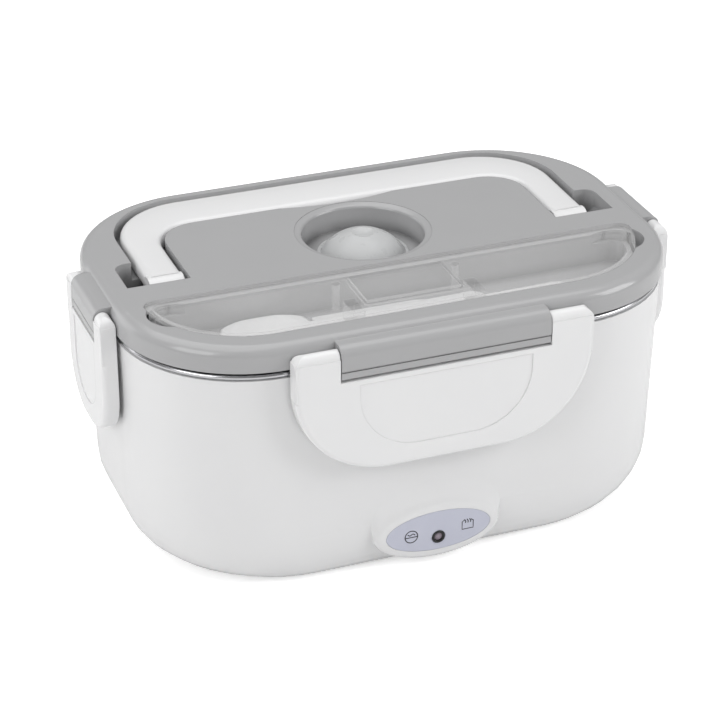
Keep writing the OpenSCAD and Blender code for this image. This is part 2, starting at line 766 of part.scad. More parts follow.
// Section of the lid's border, from the underside of its rim to the rounded shoulder
module border_profile() {
    inner = lid_corner - border_width;
    translate([inner, gasket_top_z]) square([border_width - lid_shoulder, top_z - gasket_top_z]);
    translate([inner, gasket_top_z]) square([border_width, top_z - lid_shoulder - gasket_top_z]);
    translate([lid_corner - lid_shoulder, top_z - lid_shoulder]) circle(lid_shoulder);
    translate([lid_corner - lid_wall, lid_z]) square([lid_wall, gasket_top_z - lid_z + 1]);
    translate([gasket_in_u - insert_gap - 1.6, lid_z + 0.4]) square([1.6, gasket_top_z - lid_z + 0.6]);
}

// Flat D shape of the cutlery cover, shrunk by inset
module cutlery_outline(inset) {
    u = cover_u - inset;
    intersection() {
        rounded(corner_x + u, corner_y + u, u);
        translate([0, -cover_back - inset - 60]) rounded(corner_x + u, 60, 5);
    }
}

module cutlery_slab(inset, z0, z1) {
    translate([0, 0, z0]) linear_extrude(z1 - z0) cutlery_outline(inset);
}

// Flat U shape of the handle's groove, its walls grown by wall
module groove_outline(wall) {
    gap = groove_gap + wall;
    front = pocket_front - wall;
    difference() {
        intersection() {
            rounded(handle_half + groove_side_gap + wall, handle_back + gap, handle_corner + gap);
            translate([-handle_half - 20, front]) square([2 * handle_half + 40, handle_back + 40]);
        }
        rounded(handle_half - arm_width - gap, handle_back - grip_width - gap, handle_inner_corner - gap);
    }
}

pocket_front = handle_pivot_back - arm_end_radius - 0.7;
pocket_floor_z = handle_pivot_z - arm_end_radius - 0.6;
arm_inner = handle_half - arm_width;
pocket_half = (arm_width + 2 * 0.7) / 2;

// Pocket that an arm's round end turns in, grown by wall on every side but the top
module arm_pockets(wall) {
    for (s = [-1, 1]) translate([s * (arm_inner + arm_width / 2) - pocket_half - wall, pocket_front - wall,
        pocket_floor_z - wall])
        cube([2 * (pocket_half + wall), 2 * arm_end_radius + 4 + 2 * wall, top_z - pocket_floor_z + (wall > 0 ? wall - cut : cut)]);
}

// Flat outline of a finger notch beside the right arm's end, grown by wall
module notch_outline(wall) {
    start = handle_half - 2;
    front = pocket_front - wall;
    back = notch_back + wall;
    corner = notch_corner + wall;
    translate([start, front]) square([notch_out + wall - start, back - corner - front]);
    translate([start, front]) square([notch_out + wall - corner - start, back - front]);
    translate([notch_out + wall - corner, back - corner]) circle(corner);
}

// Cross-section of that notch: its floor curves up from the arm's pocket to the outer edge
module notch_section(wall) {
    foot = handle_half + 0.7;
    centre_z = pocket_floor_z + notch_sweep;
    translate([foot, centre_z]) circle(notch_sweep + wall);
    translate([foot - 4, pocket_floor_z - wall]) square([4, notch_sweep + wall]);
    translate([foot - 4, centre_z]) square([notch_out - foot + 4 + wall, top_z + cut - centre_z]);
}

// Finger notches beside both arms, with their walls when wall isn't 0
module finger_notches(wall) {
    for (s = [0, 1]) mirror([s, 0, 0]) intersection() {
        translate([0, 0, pocket_floor_z - wall])
            linear_extrude(top_z - pocket_floor_z + wall + (wall > 0 ? -cut : cut)) notch_outline(wall);
        translate([0, 2 * notch_back, 0]) rotate([90, 0, 0]) linear_extrude(4 * notch_back) notch_section(wall);
    }
}

notch_back = 15;
notch_sweep = 9.6;

// Section of a lug bar on the lid's side, with the groove that runs along it
module lug_section(drop) {
    face = -corner_y - lid_corner;
    out = face - latch_reach;
    crown = top_z - lug_crown_drop - drop;
    bottom = lug_bottom_z - drop;
    difference() {
        union() {
            translate([out, bottom]) square([latch_reach, crown - lug_round - bottom]);
            translate([out + lug_round, lid_z]) square([latch_reach + 1.5 - lug_round, crown - lid_z]);
            translate([out + lug_round, crown - lug_round]) circle(lug_round);
        }
        translate([out - 1, bottom + 2.8]) square([1.5, 0.7]);
        translate([out - 1, bottom - 1]) square([1.2, 3.8]);
    }
}

module lug_bar(half, drop = 0) {
    face = -corner_y - lid_corner;
    difference() {
        rotate([90, 0, 90]) linear_extrude(2 * half, center = true) lug_section(drop);
        for (s = [-1, 1]) translate([s * (half - hinge_pin_length - 0.3), face - pivot_out, pivot_z - drop])
            rotate([0, s * 90, 0]) cylinder(r = hinge_pin_radius + pin_clearance, h = hinge_pin_length + cut);
    }
}

plug_hole_radius = plug_stem_radius + 0.4;
vent_wall = lid_wall;

// Half section of what the rounded lip round the vent recess takes off
module vent_lip() {
    ring_r = vent_radius + vent_ring;
    polygon([[vent_radius - 1, top_z - lip_depth], [vent_radius, top_z - lip_depth],
        [vent_radius + 0.3, top_z - 0.6 * lip_depth], [vent_radius + 1, top_z - 0.36 * lip_depth],
        [ring_r, top_z - lip_step], [ring_r, top_z + cut], [vent_radius - 1, top_z + cut]]);
}

lip_depth = 1.8;
lip_step = 0.2;

module lid_shell() {
    under_z = top_z - top_plate;
    color(grey) difference() {
        union() {
            around() border_profile();
            outline_slab(lid_corner - border_width + 0.5, under_z, top_z);
            lug_bar(long_lug_half);
            rotate([0, 0, 180]) lug_bar(long_lug_half, rear_drop);
            on_short_sides() lug_bar(short_lug_half);
            translate([0, 0, groove_z - lid_wall]) linear_extrude(top_z - cut - groove_z + lid_wall)
                groove_outline(lid_wall);
            arm_pockets(lid_wall);
            finger_notches(lid_wall);
            for (s = [-1, 1]) translate([s * (arm_inner - 0.7 - hinge_boss), handle_pivot_back, handle_pivot_z])
                rotate([0, s * 90, 0]) cylinder(r = handle_pin_radius + 2, h = hinge_boss);
            translate([0, vent_back, vent_floor_z - vent_wall]) cylinder(r = vent_radius + vent_wall, h = vent_depth);
            cutlery_slab(cover_ledge - lid_wall, cutlery_floor_z - lid_wall, top_z - 1);
        }
        around() translate([gasket_in_u - insert_gap, lid_z - cut])
            square([lid_corner - lid_wall - gasket_in_u + insert_gap, gasket_top_z - lid_z + cut]);
        translate([0, 0, groove_z]) linear_extrude(top_z - groove_z + cut) groove_outline(0);
        arm_pockets(0);
        finger_notches(0);
        for (s = [-1, 1]) translate([s * (arm_inner - 0.7 - hinge_boss - cut), handle_pivot_back, handle_pivot_z])
            rotate([0, s * 90, 0]) cylinder(r = handle_pin_radius + pin_clearance, h = hinge_boss + 2 * cut);
        translate([0, vent_back, vent_floor_z]) cylinder(r = vent_radius, h = vent_depth + cut);
        translate([0, vent_back, 0]) rotate_extrude() vent_lip();
        translate([0, vent_back, vent_floor_z - vent_wall - cut]) cylinder(r = plug_hole_radius, h = vent_wall + 2 * cut);
        cutlery_slab(-0.3, top_z - cover_thickness - 0.1, top_z + cut);
        cutlery_slab(cover_ledge, cutlery_floor_z, top_z + cut);
        for (s = [-1, 1]) translate([s * (corner_x + cover_u - finger_radius + finger_gap),
            -cover_back - finger_radius - 1, top_z - 6]) cylinder(r = finger_radius, h = 6 + cut);
        finger_scoop();
    }
}

// Crescent in front of the grip's middle, sloping down to it, for a finger to get under
module finger_scoop() {
    front = vent_back + vent_radius + vent_ring + 0.5;
    intersection() {
        translate([0, front + scoop_radius, top_z - scoop_depth])
            cylinder(r1 = scoop_radius - 1.45 * scoop_depth, r2 = scoop_radius, h = scoop_depth, $fn = 144);
        translate([-scoop_radius, 0, 0]) cube([2 * scoop_radius, handle_back - grip_width, top_z + cut]);
    }
}

hinge_boss = 6;
finger_radius = 11.5;
scoop_radius = 100;
scoop_depth = 3;

module lid_gasket() {
    color("gainsboro") around() {
        translate([gasket_in_u, gasket_top_z - gasket_height]) difference() {
            square([gasket_width, gasket_height]);
            translate([gasket_width / 2 - 0.6, -0.2]) square([1.2, 1]);
        }
    }
}

module vent_plug() {
    barb_z = vent_floor_z - vent_wall - 3.6;
    color([0.9, 0.9, 0.9]) translate([0, vent_back, 0]) difference() {
        union() {
            translate([0, 0, vent_floor_z]) cylinder(r = plug_radius, h = 1.2);
            translate([0, 0, vent_floor_z]) intersection() {
                translate([0, 0, plug_rise - dome_ball]) sphere(dome_ball);
                cylinder(r = plug_radius, h = plug_rise + cut);
            }
            translate([0, 0, barb_z]) cylinder(r = plug_stem_radius, h = vent_floor_z - barb_z + 1);
            translate([0, 0, barb_z - 2]) cylinder(r1 = plug_stem_radius, r2 = plug_stem_radius + 2, h = 2);
        }
        translate([0, 0, vent_floor_z + plug_rise + 8.3]) sphere(10);
        translate([0, 0, barb_z - 2 - cut]) cylinder(r = plug_stem_radius - 2, h = 9 + cut);
    }
}

dome_ball = 21;

// ---- Handle ----

// One station of the bail from its inner edge to its outer edge
function bail_section(inner, outer, low, high) =
    let (span = norm(outer - inner), e = (outer - inner) / span, r = 3, b = 1.5)
    [for (q = concat(
        [for (i = [0:2]) [b - b * cos(45 * i), low + b - b * sin(45 * i)]],
        [for (i = [0:2]) [span - b + b * sin(45 * i), low + b - b * cos(45 * i)]],
        [for (i = [0:4]) [span - r + r * cos(22.5 * i), high - r + r * sin(22.5 * i)]],
        [for (i = [0:4]) [r - r * sin(22.5 * i), high - r + r * cos(22.5 * i)]]))
        [inner[0] + e[0] * q[0], inner[1] + e[1] * q[0], q[1]]];

// Stations of the bail's right half, from the arm's end to the middle of the grip
function bail_half() =
    let (low = handle_top_z - handle_thickness, high = handle_top_z,
        out_x = handle_half - handle_corner, out_y = handle_back - handle_corner,
        in_x = arm_inner - handle_inner_corner, in_y = handle_back - grip_width - handle_inner_corner)
    concat(
        [for (y = [handle_pivot_back, 12]) bail_section([arm_inner, y], [handle_half, y], low, high)],
        [for (i = [0:arc_steps]) let (a = 90 * i / arc_steps)
            bail_section([in_x + handle_inner_corner * cos(a), in_y + handle_inner_corner * sin(a)],
                [out_x + handle_corner * cos(a), out_y + handle_corner * sin(a)], low, high)],
        [bail_section([0, handle_back - grip_width], [0, handle_back], low, high)]);

// A station seen in a mirror at the middle of the grip
function mirrored(section) = [for (p = section) [-p[0], p[1], p[2]]];

module carry_handle() {
    right = bail_half();
    last = len(right) - 1;
    color(white) {
        loft(concat([for (i = [0:last - 1]) mirrored(right[i])], [for (i = [last:-1:0]) right[i]]));
        for (s = [-1, 1]) translate([s * arm_inner, handle_pivot_back, handle_pivot_z]) rotate([0, s * 90, 0]) {
            translate([0, 0, insert_gap]) cylinder(r = arm_end_radius, h = arm_width - 2 * insert_gap);
            translate([0, 0, -hinge_boss]) cylinder(r = handle_pin_radius, h = hinge_boss + 1);
        }
    }
}

// ---- Cutlery ----

rib_x = 25.5;
tab_half = 20;
tab_rise = 11;

module cutlery_cover() {
    top = top_z;
    step = 1.2;
    color(clear) difference() {
        union() {
            cutlery_slab(0, top - cover_thickness, top);
            cutlery_slab(cover_ledge + 0.4, top - cover_thickness - step, top - cover_thickness);
            translate([0, 0, top - cover_thickness - 2.2]) linear_extrude(2) inset_outline(0.8);
            for (s = [-1, 1]) {
                translate([s * rib_x, -cover_back - cover_ledge - 2.6, cutlery_floor_z + 1])
                    cylinder(r = 1.7, h = cutlery_depth - cover_thickness - 1.5);
                translate([s * rib_x - 2.5, -53, cover_rib_z]) cube([5, 12, top - cover_thickness - cover_rib_z]);
            }
        }
        cutlery_slab(cover_ledge - 0.8, top - step, top + cut);
        translate([0, 0, top - cover_thickness - 1]) linear_extrude(4) inset_outline(0);
    }
}

// Rectangle of the sunken finger tab in the cover's middle, grown by gap
module inset_outline(gap) {
    back = cover_back + cover_ledge + latch_gap + 0.8;
    translate([0, -back - tab_rise]) rounded(tab_half + gap, tab_rise + gap, 1 + gap);
}

cutlery_y = -42;
fork_z = cutlery_floor_z + 0.3;
spoon_z = fork_z + cutlery_sheet + 0.4;
cover_rib_z = spoon_z + cutlery_sheet + 0.4;
spoon_left = -80;
bowl_length = 42;
bowl_width = 30;
fork_right = 69;

// Flat outline of a handle that narrows to its neck: from x0 to x1 with half widths h0 and h1
module blade(x0, x1, h0, h1) {
    polygon([[x0, -h0], [x1, -h1], [x1, h1], [x0, h0]]);
    translate([x1, 0]) circle(h1);
}

module spoon() {
    centre = spoon_left + bowl_length / 2;
    end = spoon_left + spoon_length;
    color(white) translate([0, cutlery_y, 0]) {
        translate([0, 0, spoon_z]) linear_extrude(cutlery_sheet) blade(spoon_left + bowl_length - 3, end - 5, 3.2, 5);
        translate([centre, 0, spoon_z]) difference() {
            intersection() {
                bowl_blank(cutlery_sheet, bowl_length / 2, bowl_width / 2 - 1);
                translate([0, 0, bowl_ball - bowl_depth]) sphere(bowl_ball);
            }
            translate([0, 0, bowl_ball - bowl_depth + 1.5]) sphere(bowl_ball);
        }
    }
}

bowl_ball = 46;
bowl_depth = 2.2;

// Oval plate that a spoon's bowl is cut from
module bowl_blank(top, half, rise) {
    translate([0, 0, -3]) linear_extrude(3 + top)
        polygon([for (i = [0:47]) let (a = 7.5 * i) [half * cos(a), rise * sin(a)]]);
}

module fork() {
    left = fork_right - fork_length;
    palm = left + tine_length;
    color(white) translate([0, cutlery_y, fork_z]) linear_extrude(cutlery_sheet) {
        blade(palm + fork_neck, fork_right - 5, 4, 5);
        polygon([[palm, -fork_palm / 2], [palm + 10, -fork_palm / 2], [palm + fork_neck, -4],
            [palm + fork_neck, 4], [palm + 10, fork_palm / 2], [palm, fork_palm / 2]]);
        for (i = [-1.5:1:1.5]) translate([left + tine_width / 2, i * tine_pitch]) {
            translate([0, -tine_width / 2]) square([tine_length, tine_width]);
            circle(tine_width / 2);
        }
    }
}

tine_length = 34;
tine_width = 3.2;
tine_pitch = 5.6;
fork_palm = 3 * tine_pitch + tine_width;
fork_neck = 30;

// ---- Latches ----

// Section of a latch's edge: first axis outwards from a corner centre, second axis the depth
// behind the front face
module latch_profile(u) {
    difference() {
        union() {
            square([u - latch_edge, latch_depth]);
            translate([0, latch_edge]) square([u, latch_depth - latch_edge]);
            translate([u - latch_edge, latch_edge]) circle(latch_edge);
        }
        translate([-1, latch_wall]) square([u - latch_wall + 1, latch_depth]);
        translate([-u, -1]) square([u, latch_depth + 2]);
    }
}

// A latch in its own frame: x along the hinge, y = 0 the outer face, +Y into the box
module latch_form(half, corner, lug_half, bottom) {
    straight = half - corner;
    corner_z = bottom + corner;
    horn_in = lug_half + latch_gap;
    pivot_in = latch_reach - pivot_out;
    difference() {
        union() {
            for (s = [0, 1]) mirror([s, 0, 0]) {
                translate([straight, 0, corner_z]) rotate([-90, 0, 0]) rotate_extrude(angle = 90) latch_profile(corner);
                translate([straight, 0, corner_z]) linear_extrude(pivot_z - corner_z) latch_profile(corner);
                intersection() {
                    translate([horn_in, 0, plate_top_z - 6]) cube([half - horn_in, latch_depth, pivot_z + horn_radius - plate_top_z + 6]);
                    translate([horn_in - 1, 0, 0]) rotate([90, 0, 90]) linear_extrude(half) {
                        translate([pivot_in, pivot_z]) circle(horn_radius);
                        translate([pivot_in - horn_radius, plate_top_z - 6]) square([2 * horn_radius, pivot_z - plate_top_z + 6]);
                    }
                    translate([0, latch_depth + 1, 0]) rotate([90, 0, 0]) linear_extrude(latch_depth + 2) {
                        translate([0, plate_top_z - 7]) square([half, pivot_z + horn_radius - 5 - plate_top_z + 7]);
                        translate([0, plate_top_z - 7]) square([half - 5, pivot_z + horn_radius - plate_top_z + 7]);
                        translate([half - 5, pivot_z + horn_radius - 5]) circle(5);
                    }
                }
                translate([horn_in - hinge_pin_length, pivot_in, pivot_z]) rotate([0, 90, 0])
                    cylinder(r = hinge_pin_radius, h = hinge_pin_length + 2);
            }
            translate([0, 0, corner_z]) rotate([0, 90, 0]) linear_extrude(2 * straight, center = true) latch_profile(corner);
            translate([-straight - 0.5, 0, bottom + latch_edge]) cube([2 * straight + 1, latch_wall, plate_top_z - bottom - latch_edge]);
            translate([-lug_half + 6, latch_wall - 0.5, hook_z]) cube([2 * lug_half - 12, hook_reach + 0.5, 2.8]);
        }
        translate([-lug_half - latch_gap, -1, plate_top_z]) cube([2 * (lug_half + latch_gap), latch_depth + 2, 40]);
        translate([catch_inset - lug_half - relief_gap, relief_y, bottom - cut])
            cube([2 * (lug_half - catch_inset + relief_gap), latch_depth, hook_z - bottom]);
        latch_panel(half, corner, bottom);
    }
}

hook_z = catch_top_z - catch_bar - 0.3 - 2.8;
hook_reach = lid_overhang + latch_reach - catch_reach - 0.3 - latch_wall;
// The latch's lower edge is shallower where it passes the catch bar
relief_gap = 0.6;
relief_y = lid_overhang + latch_reach - catch_reach - 0.3;

// Faint sunken panel in a latch's face
module latch_panel(half, corner, bottom) {
    inset = half * 0.42;
    translate([0, 0.35, 0]) rotate([90, 0, 0]) linear_extrude(2) intersection() {
        translate([0, bottom + 9 + 40]) rounded(half - inset, 40, corner * 0.64);
        translate([-half, bottom]) square([2 * half, plate_top_z - 2.2 - bottom]);
    }
}

module latch(half, corner, lug_half, bottom) {
    color(white) translate([0, -corner_y - lid_corner - latch_reach, 0]) latch_form(half, corner, lug_half, bottom);
}

module front_latch() {
    latch(long_latch_half, long_latch_corner, long_lug_half, latch_bottom);
}

module rear_latch() {
    at_rear() latch(long_latch_half, long_latch_corner, long_lug_half, latch_bottom);
}

module left_latch() {
    rotate([0, 0, -90]) translate([0, corner_y - corner_x, 0])
        latch(short_latch_half, short_latch_corner, short_lug_half, latch_bottom - 1.5);
}

module right_latch() {
    rotate([0, 0, 90]) translate([0, corner_y - corner_x, 0])
        latch(short_latch_half, short_latch_corner, short_lug_half, latch_bottom - 1.5);
}

outer_shell();
inner_liner();
case_screws();
rubber_feet();
heating_plate();
ptc_heater();
insulation_pad();
heater_clamp();
clamp_screws();
thermal_cutout();
thermal_fuse();
mains_inlet();
inlet_pins();
indicator_board();
indicator_lamp();
lamp_sleeve();
front_label();
live_wire();
neutral_wire();
lamp_wires();
steel_pot();
food_tray();
lid_shell();
lid_gasket();
vent_plug();
carry_handle();
cutlery_cover();
spoon();
fork();
front_latch();
rear_latch();
left_latch();
right_latch();
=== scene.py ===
"""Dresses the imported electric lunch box: finishes, printed marks, studio and camera.

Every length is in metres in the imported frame: +X runs along the long side, -Y is the front
with the lamp, +Z is up and z = 0 is the table. Names that end in mm hold millimetres.
"""

import logging
import math
from abc import ABC, abstractmethod
from collections.abc import Mapping, Sequence
from dataclasses import dataclass, field, replace
from enum import Enum
from typing import Any

import bmesh
import bpy
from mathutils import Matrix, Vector


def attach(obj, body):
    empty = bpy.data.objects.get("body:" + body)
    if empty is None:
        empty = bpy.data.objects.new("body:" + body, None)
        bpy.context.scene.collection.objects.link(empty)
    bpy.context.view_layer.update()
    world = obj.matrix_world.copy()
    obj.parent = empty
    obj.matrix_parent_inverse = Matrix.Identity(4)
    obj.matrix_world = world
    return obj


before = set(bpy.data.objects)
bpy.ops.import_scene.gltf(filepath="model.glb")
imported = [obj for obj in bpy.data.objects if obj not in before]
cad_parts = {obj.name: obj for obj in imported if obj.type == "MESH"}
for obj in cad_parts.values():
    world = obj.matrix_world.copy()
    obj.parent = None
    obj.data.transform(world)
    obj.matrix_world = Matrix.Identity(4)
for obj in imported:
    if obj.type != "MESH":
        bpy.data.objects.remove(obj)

log = logging.getLogger("lunch_box")

MM = 0.001
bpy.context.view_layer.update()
WHITE = (1.0, 1.0, 1.0, 1.0)
# How far milky plastic scatters red, green and blue, as shares of its scatter length.
EVEN_SCATTER = (1.0, 1.0, 1.0)
# Rays that a bevel or occlusion node sends out at each sample.
PROBE_RAYS = 8
# A Mix node has several sockets of one name, so its colours go by number.
MIX_A, MIX_B, MIX_COLOUR = 6, 7, 2


def linear(colour: str) -> tuple[float, float, float, float]:
    """Turns an sRGB hex colour into the linear colour that shaders use, by the standard's curve.

    Args:
        colour: Six hex digits after a hash.

    Returns:
        Linear red, green and blue, and an alpha of 1.
    """
    channels = [int(colour[i : i + 2], 16) / 255 for i in (1, 3, 5)]
    red, green, blue = (
        c / 12.92 if c <= 0.04045 else ((c + 0.055) / 1.055) ** 2.4 for c in channels
    )
    return red, green, blue, 1.0


def add(
    tree: bpy.types.NodeTree,
    kind: str,
    inputs: Mapping[str | int, Any] | None = None,
    **settings: Any,
) -> bpy.types.Node:
    """Adds a node with its settings and links.

    Args:
        tree: The node tree that the node goes into.
        kind: The node's type, such as ShaderNodeTexNoise.
        inputs: Socket name or index to a value, or to an output socket that is linked to it.
        **settings: The node's own properties.

    Returns:
        The new node.
    """
    node = tree.nodes.new(kind)
    for name, value in settings.items():
        setattr(node, name, value)
    for key, value in (inputs or {}).items():
        if isinstance(value, bpy.types.NodeSocket):
            tree.links.new(value, node.inputs[key])
        else:
            node.inputs[key].default_value = value
    return node


def blank(name: str) -> tuple[bpy.types.Material, bpy.types.NodeTree]:
    """Makes an empty node material.

    Args:
        name: The material's name.

    Returns:
        The material and its node tree.
    """
    material = bpy.data.materials.new(name)
    material.use_nodes = True
    material.node_tree.nodes.clear()
    return material, material.node_tree


class Grain(Enum):
    """The axis along which a brushed or drawn surface's lines run."""

    ALONG_X = (0.03, 1.0, 1.0)
    ALONG_Y = (1.0, 0.03, 1.0)
    ALONG_Z = (1.0, 1.0, 0.03)


@dataclass(frozen=True)
class Finish(ABC):
    """What a piece is made of and how its surface was made."""

    name: str
    colour: str

    @abstractmethod
    def surface(
        self, tree: bpy.types.NodeTree, place: bpy.types.NodeSocket
    ) -> bpy.types.NodeSocket:
        """Draws the surface.

        Args:
            tree: The material's node tree.
            place: Where each point of the piece lies.

        Returns:
            The shader.
        """

    def build(self) -> bpy.types.Material:
        """Builds the material at the first call, and finds it again later.

        Returns:
            The node material.
        """
        known = bpy.data.materials.get(self.name)
        if known:
            return known
        material, tree = blank(self.name)
        place = add(tree, "ShaderNodeTexCoord").outputs["Object"]
        shader = self.surface(tree, place)
        add(tree, "ShaderNodeOutputMaterial", {"Surface": shader})
        return material


@dataclass(frozen=True)
class MouldedPlastic(Finish):
    """Injection moulded plastic: an even colour, a polished mould's gloss and a faint ripple.

    The ripple is the shrinkage that a thick wall leaves, and it shows only in reflections. The
    edges are rounded by edge_mm, as a mould's are. A spark texture is drawn a few times coarser
    than a real one, so that it shows. Gaps narrower than recess_mm, which little light gets
    into, get painted shade: their colour is darker by up to the share recess_shade.
    recess_span is how open to the sky a point is where that painted shade is full, and where
    it ends.
    """

    cloud: str
    roughness: float = 0.25
    roughness_spread: float = 0.05
    ior: float = 1.52
    cloud_mm: float = 30.0
    smear_mm: float = 4.0
    ripple_mm: float = 16.0
    ripple_depth_mm: float = 0.01
    ripple_strength: float = 0.6
    edge_mm: float = 0.5
    texture_mm: float = 0.0
    texture_depth_mm: float = 0.0
    texture_strength: float = 0.5
    translucency: float = 0.0
    scatter_mm: float = 1.5
    recess_mm: float = 11.0
    recess_shade: float = 0.0
    recess_span: tuple[float, float] = (0.2, 0.72)

    def surface(
        self, tree: bpy.types.NodeTree, place: bpy.types.NodeSocket
    ) -> bpy.types.NodeSocket:
        """Draws the plastic's surface.

        Args:
            tree: The material's node tree.
            place: Where each point of the piece lies.

        Returns:
            The shader.
        """
        smear = add(
            tree,
            "ShaderNodeTexNoise",
            {"Vector": place, "Scale": 1 / (self.smear_mm * MM), "Detail": 4.0},
        )
        rough = add(
            tree,
            "ShaderNodeMapRange",
            {
                "Value": smear.outputs["Fac"],
                "To Min": self.roughness - self.roughness_spread / 2,
                "To Max": self.roughness + self.roughness_spread / 2,
            },
        )
        shader = add(
            tree,
            "ShaderNodeBsdfPrincipled",
            {
                "Base Color": self._paint(tree, place),
                "Roughness": rough.outputs["Result"],
                "IOR": self.ior,
                "Normal": self._relief(tree, place),
                "Subsurface Weight": self.translucency,
                "Subsurface Radius": EVEN_SCATTER,
                "Subsurface Scale": self.scatter_mm * MM,
            },
        )
        return shader.outputs["BSDF"]

    def _paint(
        self, tree: bpy.types.NodeTree, place: bpy.types.NodeSocket
    ) -> bpy.types.NodeSocket:
        """Draws the plastic's colour, with a faint cloud, and painted shade that darkens it in
        narrow gaps.

        Args:
            tree: The material's node tree.
            place: Where each point of the piece lies.

        Returns:
            The colour.
        """
        cloud = add(
            tree,
            "ShaderNodeTexNoise",
            {"Vector": place, "Scale": 1 / (self.cloud_mm * MM), "Detail": 2.0},
        )
        pigment = add(
            tree,
            "ShaderNodeMix",
            {
                "Factor": cloud.outputs["Fac"],
                MIX_A: linear(self.colour),
                MIX_B: linear(self.cloud),
            },
            data_type="RGBA",
        )
        if not self.recess_shade:
            return pigment.outputs[MIX_COLOUR]
        # Painted shade: the colour is darkened where the occlusion node finds the point closed in
        # by the piece's own walls.
        room = add(
            tree,
            "ShaderNodeAmbientOcclusion",
            {"Distance": self.recess_mm * MM},
            samples=PROBE_RAYS,
            only_local=True,
        )
        light = add(
            tree,
            "ShaderNodeMapRange",
            {
                "Value": room.outputs["AO"],
                "From Min": self.recess_span[0],
                "From Max": self.recess_span[1],
                "To Min": 1 - self.recess_shade,
            },
        )
        shaded = add(
            tree,
            "ShaderNodeMix",
            {
                "Factor": 1.0,
                MIX_A: pigment.outputs[MIX_COLOUR],
                MIX_B: light.outputs["Result"],
            },
            data_type="RGBA",
            blend_type="MULTIPLY",
        )
        return shaded.outputs[MIX_COLOUR]

    def _relief(
        self, tree: bpy.types.NodeTree, place: bpy.types.NodeSocket
    ) -> bpy.types.NodeSocket:
        """Draws the rounded edges, the ripple and the mould's texture.

        Args:
            tree: The material's node tree.
            place: Where each point of the piece lies.

        Returns:
            The normal that the surface is shaded by.
        """
        ripple = add(
            tree,
            "ShaderNodeTexNoise",
            {"Vector": place, "Scale": 1 / (self.ripple_mm * MM), "Detail": 1.0},
        )
        bump = add(
            tree,
            "ShaderNodeBump",
            {
                "Height": ripple.outputs["Fac"],
                "Strength": self.ripple_strength,
                "Distance": self.ripple_depth_mm * MM,
            },
        )
        if self.edge_mm:
            edge = add(
                tree, "ShaderNodeBevel", {"Radius": self.edge_mm * MM}, samples=PROBE_RAYS
            )
            tree.links.new(edge.outputs["Normal"], bump.inputs["Normal"])
        if self.texture_mm:
            sparks = add(
                tree,
                "ShaderNodeTexVoronoi",
                {"Vector": place, "Scale": 1 / (self.texture_mm * MM)},
                feature="SMOOTH_F1",
            )
            bump = add(
                tree,
                "ShaderNodeBump",
                {
                    "Height": sparks.outputs["Distance"],
                    "Normal": bump.outputs["Normal"],
                    "Strength": self.texture_strength,
                    "Distance": self.texture_depth_mm * MM,
                },
            )
        return bump.outputs["Normal"]


@dataclass(frozen=True)
class ClearPlastic(Finish):
    """Clear styrene sheet: it lets most light straight through and keeps a glossy skin.

    Its rounded edges get a painted highlight: they are drawn paler and denser than its faces,
    for the light that is caught inside the sheet and leaves at its edges. The sheet covers what
    lies behind it by the share cover, and its edges do by edge_cover. An edge is where the
    rounded normal's cosine to the face falls below edge_from.
    """

    cover: float = 0.17
    edge_cover: float = 0.32
    edge_from: float = 0.93
    edge_mm: float = 0.45
    roughness: float = 0.07
    roughness_share: float = 0.3
    scuff_mm: float = 6.0
    ior: float = 1.55
    ripple_mm: float = 24.0
    ripple_depth_mm: float = 0.02
    ripple_strength: float = 0.5

    def surface(
        self, tree: bpy.types.NodeTree, place: bpy.types.NodeSocket
    ) -> bpy.types.NodeSocket:
        """Draws the sheet's surface.

        Args:
            tree: The material's node tree.
            place: Where each point of the piece lies.

        Returns:
            The shader.
        """
        ripple = add(
            tree,
            "ShaderNodeTexNoise",
            {"Vector": place, "Scale": 1 / (self.ripple_mm * MM), "Detail": 1.0},
        )
        scuff = add(
            tree,
            "ShaderNodeTexNoise",
            {"Vector": place, "Scale": 1 / (self.scuff_mm * MM), "Detail": 3.0},
        )
        rough = add(
            tree,
            "ShaderNodeMapRange",
            {
                "Value": scuff.outputs["Fac"],
                "To Min": self.roughness * (1 - self.roughness_share),
                "To Max": self.roughness * (1 + self.roughness_share),
            },
        )
        edge = add(tree, "ShaderNodeBevel", {"Radius": self.edge_mm * MM}, samples=PROBE_RAYS)
        bump = add(
            tree,
            "ShaderNodeBump",
            {
                "Height": ripple.outputs["Fac"],
                "Normal": edge.outputs["Normal"],
                "Strength": self.ripple_strength,
                "Distance": self.ripple_depth_mm * MM,
            },
        )
        face = add(tree, "ShaderNodeNewGeometry").outputs["Normal"]
        turned = add(
            tree,
            "ShaderNodeVectorMath",
            {0: edge.outputs["Normal"], 1: face},
            operation="DOT_PRODUCT",
        )
        # Painted highlight: the sheet is denser at its rounded edges, so that they show as pale
        # lines.
        cover_with_painted_edges = add(
            tree,
            "ShaderNodeMapRange",
            {
                "Value": turned.outputs["Value"],
                "From Min": self.edge_from,
                "To Min": self.edge_cover,
                "To Max": self.cover,
            },
        )
        shader = add(
            tree,
            "ShaderNodeBsdfPrincipled",
            {
                "Base Color": linear(self.colour),
                "Roughness": rough.outputs["Result"],
                "IOR": self.ior,
                "Alpha": cover_with_painted_edges.outputs["Result"],
                "Normal": bump.outputs["Normal"],
            },
        )
        return shader.outputs["BSDF"]


